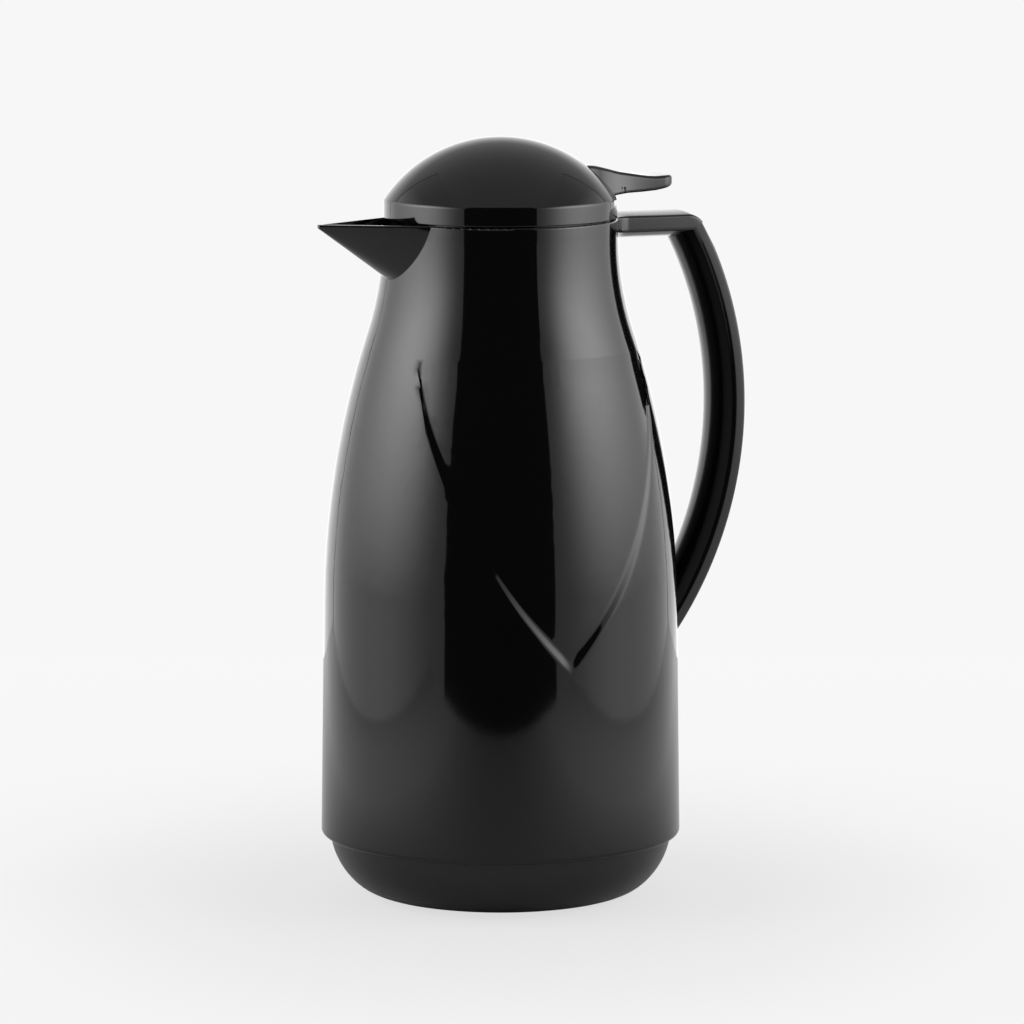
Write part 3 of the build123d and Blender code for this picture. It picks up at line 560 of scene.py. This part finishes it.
def makeHandle(look):
    bm = bmesh.new()
    centre = Vector((look["curveX"], 0, look["curveZ"]))
    radii = (look["curveRadius"] - look["sideDepth"], look["curveRadius"])
    drawHandle(bm, look, centre, radii)
    thicken(bm, look["width"])
    half = look["width"] / 2
    cornerX = handleCorner(look, False, 0)[0]
    bendReach = look["bendRadius"] * tan(radians(look["bendTurn"] / 2))

    def atCorner(vert):
        return abs(vert.co.x - cornerX) < hair and vert.co.z > look["topZ"] - hair

    corner = [
        edge for edge in bm.edges if crosses(edge, half) and all(map(atCorner, edge.verts))
    ]
    softBevel(bm, corner, bendReach, look["bendSegments"])
    lowest = min(vert.co.z for vert in bm.verts) + look["footReach"]

    def atEnd(vert):
        return vert.co.x < look["rootX"] + hair or vert.co.z < lowest

    bm.normal_update()
    long = [
        edge
        for edge in bm.edges
        if not crosses(edge)
        and edge.calc_face_angle(0) > radians(look["edgeTurn"])
        and not all(map(atEnd, edge.verts))
    ]
    softBevel(bm, long, look["edge"], look["edgeSegments"])
    across = [edge for edge in bm.edges if crosses(edge, half)]
    bmesh.ops.subdivide_edges(bm, edges=across, cuts=look["crownCuts"], use_grid_fill=True)
    crownHandle(bm, look, centre, radii, bendReach)
    cutFoot(bm, look)
    bmesh.ops.recalc_face_normals(bm, faces=bm.faces)
    reportOpen("handle", bm)
    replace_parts(addPiece("strap_handle", bm, "jug", "handle_plastic"), "handle")


# Thumb lever: its hidden part is the solid's own, cut back to the dome's ball; the thumb piece
# is drawn from its top and bottom lines, which are x and z in millimetres
leverLook = {
    "ball": {"radius": 0.05246, "z": 0.23256, "around": 192, "along": 128},
    "sliver": 0.00003,
    "top": [
        (29, 274.0), (32, 274.0), (34, 273.8), (36, 273.4), (38, 272.9), (40, 272.4), (42.5, 271.7),
        (45, 271.1), (48, 270.6), (51, 270.1), (54, 269.6), (57, 269.2), (60, 269.0), (68, 269.3),
    ],
    "bottom": [(29, 261.9), (42, 262.4), (47, 263.0), (54, 263.2), (60, 263.6), (68, 265.0)],
    "padHalf": 0.0084,
    "lowFlare": (0.004, 0.041, 0.007),  # added half width, the x where it is whole, its fall
    "topFlare": (0.0022, 0.033, 0.008),
    "flareMost": 1.6,
    "tipRadius": 0.0048,
    "tipSegments": 7,
    "edge": 0.0014,
    "edgeTurn": 45,
    "edgeSegments": 5,
    "ribs": (0.0450, 0.0464),  # x of each rib
    "ribSize": (0.00045, 0.0012, 0.0019),
    "ribOut": 0.0013,
    "ribZ": 0.26455,
}


def between(points, x):
    for (x0, y0), (x1, y1) in zip(points, points[1:]):
        if x <= x1:
            return y0 + (y1 - y0) * (x - x0) / (x1 - x0)
    return points[-1][1]


def trimRoot(look):  # the solid's part inside the ball, without its slivers
    size = look["ball"]
    ball = bmesh.new()
    bmesh.ops.create_uvsphere(
        ball, u_segments=size["around"], v_segments=size["along"], radius=size["radius"]
    )
    bmesh.ops.translate(ball, vec=(0, 0, size["z"]), verts=ball.verts)
    whole = newMesh("leverRoot", mergedCopy(nodes["thumb_lever"].data))
    root = newObject("leverRoot", whole)
    cutter = newObject("leverBall", newMesh("leverBall", ball))
    trim = root.modifiers.new("trim", "BOOLEAN")
    trim.operation = "INTERSECT"
    trim.solver = "EXACT"
    trim.object = cutter
    seen = root.evaluated_get(bpy.context.evaluated_depsgraph_get())
    trimmed = bpy.data.meshes.new_from_object(seen)
    for item in (root, cutter):
        bpy.data.objects.remove(item)
    clean = bmesh.new()
    clean.from_mesh(trimmed)
    bmesh.ops.remove_doubles(clean, verts=clean.verts, dist=look["sliver"])
    bmesh.ops.dissolve_degenerate(clean, edges=clean.edges, dist=look["sliver"])
    reportOpen("lever root", clean)
    clean.to_mesh(trimmed)
    clean.free()
    return trimmed


def makeLever(look):
    bm = bmesh.new()
    stations = sorted({x for x, z in look["top"]})
    spots = [
        [(x / 1000, between(look[side], x) / 1000) for side in ("bottom", "top")]
        for x in stations
    ]
    edge = bm.edges.new([bm.verts.new((x, 0, z)) for x, z in spots[0]])
    for pair in spots[1:]:
        edge = growStrip(bm, edge, pair)
    thicken(bm, 2 * look["padHalf"])
    tops = {round(x, 5): z for bottom, (x, z) in spots}
    for vert in bm.verts:
        onTop = abs(tops[round(vert.co.x, 5)] - vert.co.z) < speck
        flare, start, fall = look["topFlare"] if onTop else look["lowFlare"]
        wider = flare * min(look["flareMost"], exp(-(vert.co.x - start) / fall))
        half = look["padHalf"] + wider
        vert.co.y = half if vert.co.y > 0 else -half
    back, tip = stations[0] / 1000, stations[-1] / 1000
    corners = [
        edge
        for edge in bm.edges
        if not crosses(edge) and all(abs(vert.co.x - tip) < speck for vert in edge.verts)
    ]
    softBevel(bm, corners, look["tipRadius"], look["tipSegments"])
    bm.normal_update()
    rims = [
        edge
        for edge in bm.edges
        if edge.calc_face_angle(0) > radians(look["edgeTurn"])
        and not all(vert.co.x < back + hair for vert in edge.verts)
    ]
    softBevel(bm, rims, look["edge"], look["edgeSegments"])
    for x in look["ribs"]:
        rib = bmesh.ops.create_cube(bm, size=1)
        place = Matrix.Translation((x, -look["padHalf"] - look["ribOut"], look["ribZ"]))
        size = Matrix.Diagonal((*look["ribSize"], 1))
        bmesh.ops.transform(bm, matrix=place @ size, verts=rib["verts"])
    bmesh.ops.recalc_face_normals(bm, faces=bm.faces)
    bm.from_mesh(trimRoot(look))
    reportOpen("lever", bm)
    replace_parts(addPiece("thumb_piece", bm, "lever", slots["thumb_lever"]), "thumb_lever")


# Valve spring: a round wire whose end turns lie close
springLook = {
    "coilRadius": 0.0066,
    "wireRadius": 0.00055,
    "wireDetail": 2,
    "turns": 5,
    "steps": 28,  # in each turn
    "closed": 0.8,  # of a turn at each end
    "closedPitch": 2.1,  # wire radii from one closed turn to the next
    "lift": 0.0076,
}


def makeSpring(look):
    coil, wire = look["coilRadius"], look["wireRadius"]
    turns, closed = look["turns"], look["closed"]
    low, high = (corner[2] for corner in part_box("valve_spring"))
    flat = closed * look["closedPitch"] * wire
    bottom, top = low + wire, high - wire
    rise = [(0, bottom), (closed, bottom + flat), (turns - closed, top - flat), (turns, top)]
    data = bpy.data.curves.new("springLine", "CURVE")
    data.dimensions = "3D"
    data.bevel_depth = wire
    data.bevel_resolution = look["wireDetail"]
    data.use_fill_caps = True
    line = data.splines.new("POLY")
    line.points.add(turns * look["steps"])
    for step, point in enumerate(line.points):
        turn = step / look["steps"]
        angle = 2 * pi * turn
        point.co = (coil * cos(angle), coil * sin(angle), between(rise, turn), 1)
    drawn = newObject("springLine", data)
    seen = drawn.evaluated_get(bpy.context.evaluated_depsgraph_get())
    bm = mergedCopy(bpy.data.meshes.new_from_object(seen))
    bpy.data.objects.remove(drawn)
    bmesh.ops.recalc_face_normals(bm, faces=bm.faces)
    reportOpen("spring", bm)
    spring = addPiece("valve_coil", bm, "lid", slots["valve_spring"])
    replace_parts(spring, "valve_spring")
    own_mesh(spring)


# Body: the solid's own shape, with the pressed V's step rounded at its two edges
bodyLook = {
    "low": 0.0915,
    "high": 0.1975,
    "reach": 60,  # degrees each way from the middle of a side
    "step": 14,  # least degrees between the faces at the V's edges
    "round": 0.0008,
    "segments": 4,
    "alike": 0.95,  # least cosine between a face and the normal that its corner keeps
    "runOut": (0.193, 0.209),  # heights at which the V runs out
    "runOutSide": (0.77, 0.88),  # and how far round that is
}


def farRound(spot):  # 0 at the middle of a side, 1 at the spout and the handle
    x, y, z = spot
    return abs(x) / sqrt(x * x + y * y)


def keepNormals(piece, source, look):  # a corner of the source keeps its normal, but at the run-out
    def key(spot):
        return tuple(round(value / speck) for value in spot)

    def onRunOut(spot):
        (low, high), (near, far) = look["runOut"], look["runOutSide"]
        return low < spot.z < high and near < farRound(spot) < far

    known = {}
    for corner, normal in zip(source.loops, source.corner_normals):
        place = key(source.vertices[corner.vertex_index].co)
        known.setdefault(place, []).append(Vector(normal.vector))
    mesh = piece.data
    kept = [Vector(normal.vector) for normal in mesh.corner_normals]
    for face in mesh.polygons:
        if onRunOut(face.center):
            continue
        for index in face.loop_indices:
            near = known.get(key(mesh.vertices[mesh.loops[index].vertex_index].co))
            if near:
                best = max(near, key=lambda normal: normal.dot(face.normal))
                if best.dot(face.normal) > look["alike"]:
                    kept[index] = best
    piece.modifiers.clear()
    mesh.normals_split_custom_set(kept)


def makeBody(look):
    source = nodes["body_shell"].data
    bm = mergedCopy(source)
    bm.normal_update()

    def inReach(vert):
        low, high = look["low"], look["high"]
        return low < vert.co.z < high and farRound(vert.co) < sin(radians(look["reach"]))

    chain = [
        edge
        for edge in bm.edges
        if all(map(inReach, edge.verts))
        and edge.calc_face_angle(0) > radians(look["step"])
        and any(abs(vert.co.x) > hair for vert in edge.verts)
    ]
    softBevel(bm, chain, look["round"], look["segments"])
    bmesh.ops.recalc_face_normals(bm, faces=bm.faces)
    reportOpen("body", bm)
    body = addPiece("body_moulding", bm, "jug", slots["body_shell"])
    keepNormals(body, source, look)
    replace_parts(body, "body_shell")


makeHandle(handleLook)
makeLever(leverLook)
makeSpring(springLook)
makeBody(bodyLook)
print("handle, lever, spring and body made")
